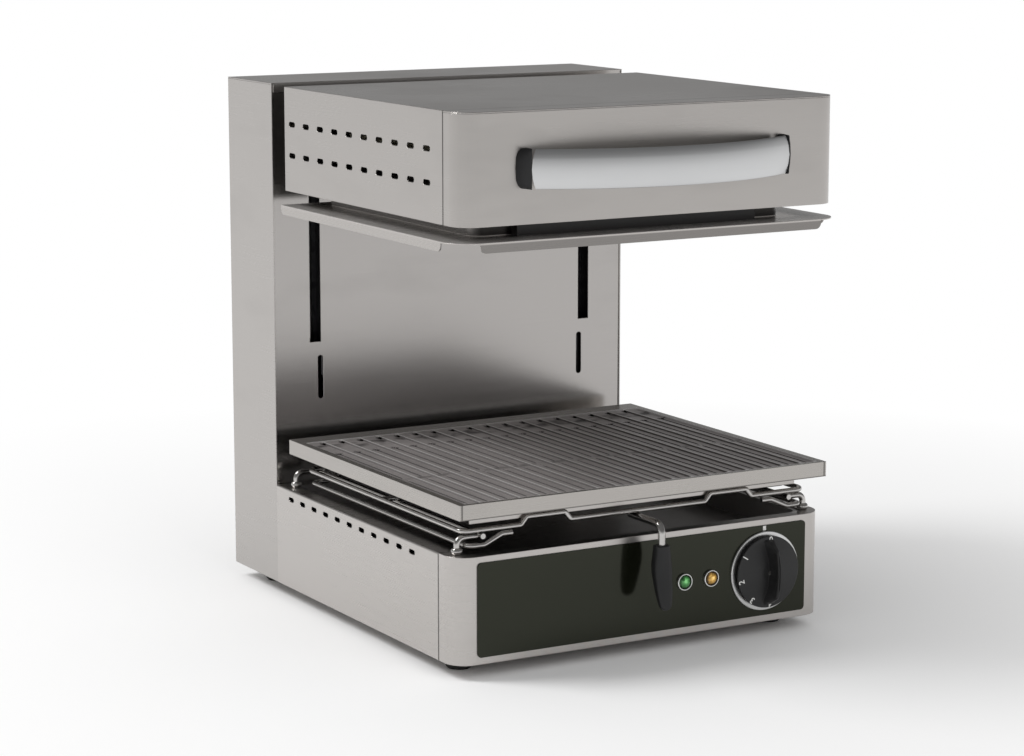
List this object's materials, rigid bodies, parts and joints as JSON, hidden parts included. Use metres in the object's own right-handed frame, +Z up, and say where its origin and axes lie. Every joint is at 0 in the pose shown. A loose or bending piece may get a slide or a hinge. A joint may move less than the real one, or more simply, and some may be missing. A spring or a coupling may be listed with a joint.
{
  "type": "cheese melter",
  "caption": "Countertop rise-and-fall grill: heating head sliding on a rear column over a pull-out grate and drip tray, with a base holding the controls.",
  "frame": {"origin": "middle of the whole object's box, at the level its feet stand on", "axes": "+Z up, the control panel and handle face -Y, +X to the right seen from the front"},
  "size_m": [0.41, 0.545, 0.5108],
  "materials": {
    "brushed_stainless": "fine straight brushing, satin",
    "dark_stainless": "smooth, heat-darkened",
    "grate_steel": "pressed steel, lightly heat-tinted",
    "bright_steel": "drawn wire, bright",
    "galvanised_steel": "galvanised, dull",
    "satin_aluminium": "satin anodised",
    "gloss_black": "high gloss film",
    "black_plastic": "fine texture",
    "dark_grey_plastic": "satin",
    "pale_plastic": "moulded",
    "black_rubber": "matte",
    "black_enamel": "satin black",
    "element_sheath": "oxidised sheath",
    "mineral_wool": "pressed fibre",
    "green_lens": "clear green",
    "amber_lens": "clear amber"
  },
  "bodies": {
    "root": {"bottom_plate": "brushed_stainless", "rubber_feet": "black_rubber", "base_side_left": "brushed_stainless", "base_side_right": "brushed_stainless", "base_front_cover": "brushed_stainless", "control_panel": "gloss_black", "base_well": "dark_stainless", "column_shell": "brushed_stainless", "column_top_cap": "brushed_stainless", "column_front_panel": "brushed_stainless", "service_cover": "brushed_stainless", "service_screws": "bright_steel", "cable_gland": "black_plastic", "terminal_block": "pale_plastic", "guide_channel_left": "galvanised_steel", "guide_channel_right": "galvanised_steel", "gas_spring_left": "black_enamel", "gas_spring_right": "black_enamel", "lamp_bezels": "bright_steel", "green_lens": "green_lens", "amber_lens": "amber_lens", "lamp_bodies": "black_plastic", "heat_regulator": "pale_plastic", "dial_ring": "satin_aluminium", "stand_rail_left": "bright_steel", "stand_rail_right": "bright_steel", "stand_grommets": "bright_steel"},
    "head": {"head_casing": "brushed_stainless", "head_front_cover": "brushed_stainless", "head_back_panel": "brushed_stainless", "head_base_plate": "brushed_stainless", "reflector_pan": "brushed_stainless", "head_insulation": "mineral_wool", "heating_element_left": "element_sheath", "heating_element_middle": "element_sheath", "heating_element_right": "element_sheath", "element_clips": "brushed_stainless", "heat_skirt": "brushed_stainless", "skirt_front_plate": "black_enamel", "support_arm_left": "galvanised_steel", "support_arm_right": "galvanised_steel", "glide_shoe_left": "pale_plastic", "glide_shoe_right": "pale_plastic", "spring_rod_left": "bright_steel", "spring_rod_right": "bright_steel", "handle_bar": "satin_aluminium", "handle_cap_left": "dark_grey_plastic", "handle_cap_right": "dark_grey_plastic", "handle_screws": "bright_steel"},
    "knob": {"control_knob": "black_plastic", "regulator_shaft": "bright_steel"},
    "carriage": {"carriage_frame": "bright_steel", "anti_tilt_wire_left": "bright_steel", "anti_tilt_wire_right": "bright_steel", "lever_rod": "bright_steel", "lever_grip": "black_plastic"},
    "tray": {"drip_tray": "brushed_stainless"},
    "grate": {"grate_frame": "brushed_stainless", "grate_plate": "grate_steel"}
  },
  "joints": [
    {"name": "head_slide", "type": "slide", "parent": "root", "child": "head", "axis": [0, 0, 1], "range_m": [-0.16, 0]},
    {"name": "knob_turn", "type": "hinge", "parent": "root", "child": "knob", "pos_m": [0.131, -0.2105, 0.064], "axis": [0, 1, 0], "range_deg": [0, 300]},
    {"name": "carriage_slide", "type": "slide", "parent": "root", "child": "carriage", "axis": [0, -1, 0], "range_m": [0, 0.15]},
    {"name": "tray_lift", "type": "slide", "parent": "carriage", "child": "tray", "axis": [0, 0, 1], "range_m": [0, 0.02]},
    {"name": "grate_lift", "type": "slide", "parent": "tray", "child": "grate", "axis": [0, 0, 1], "range_m": [0, 0.03]}
  ]
}
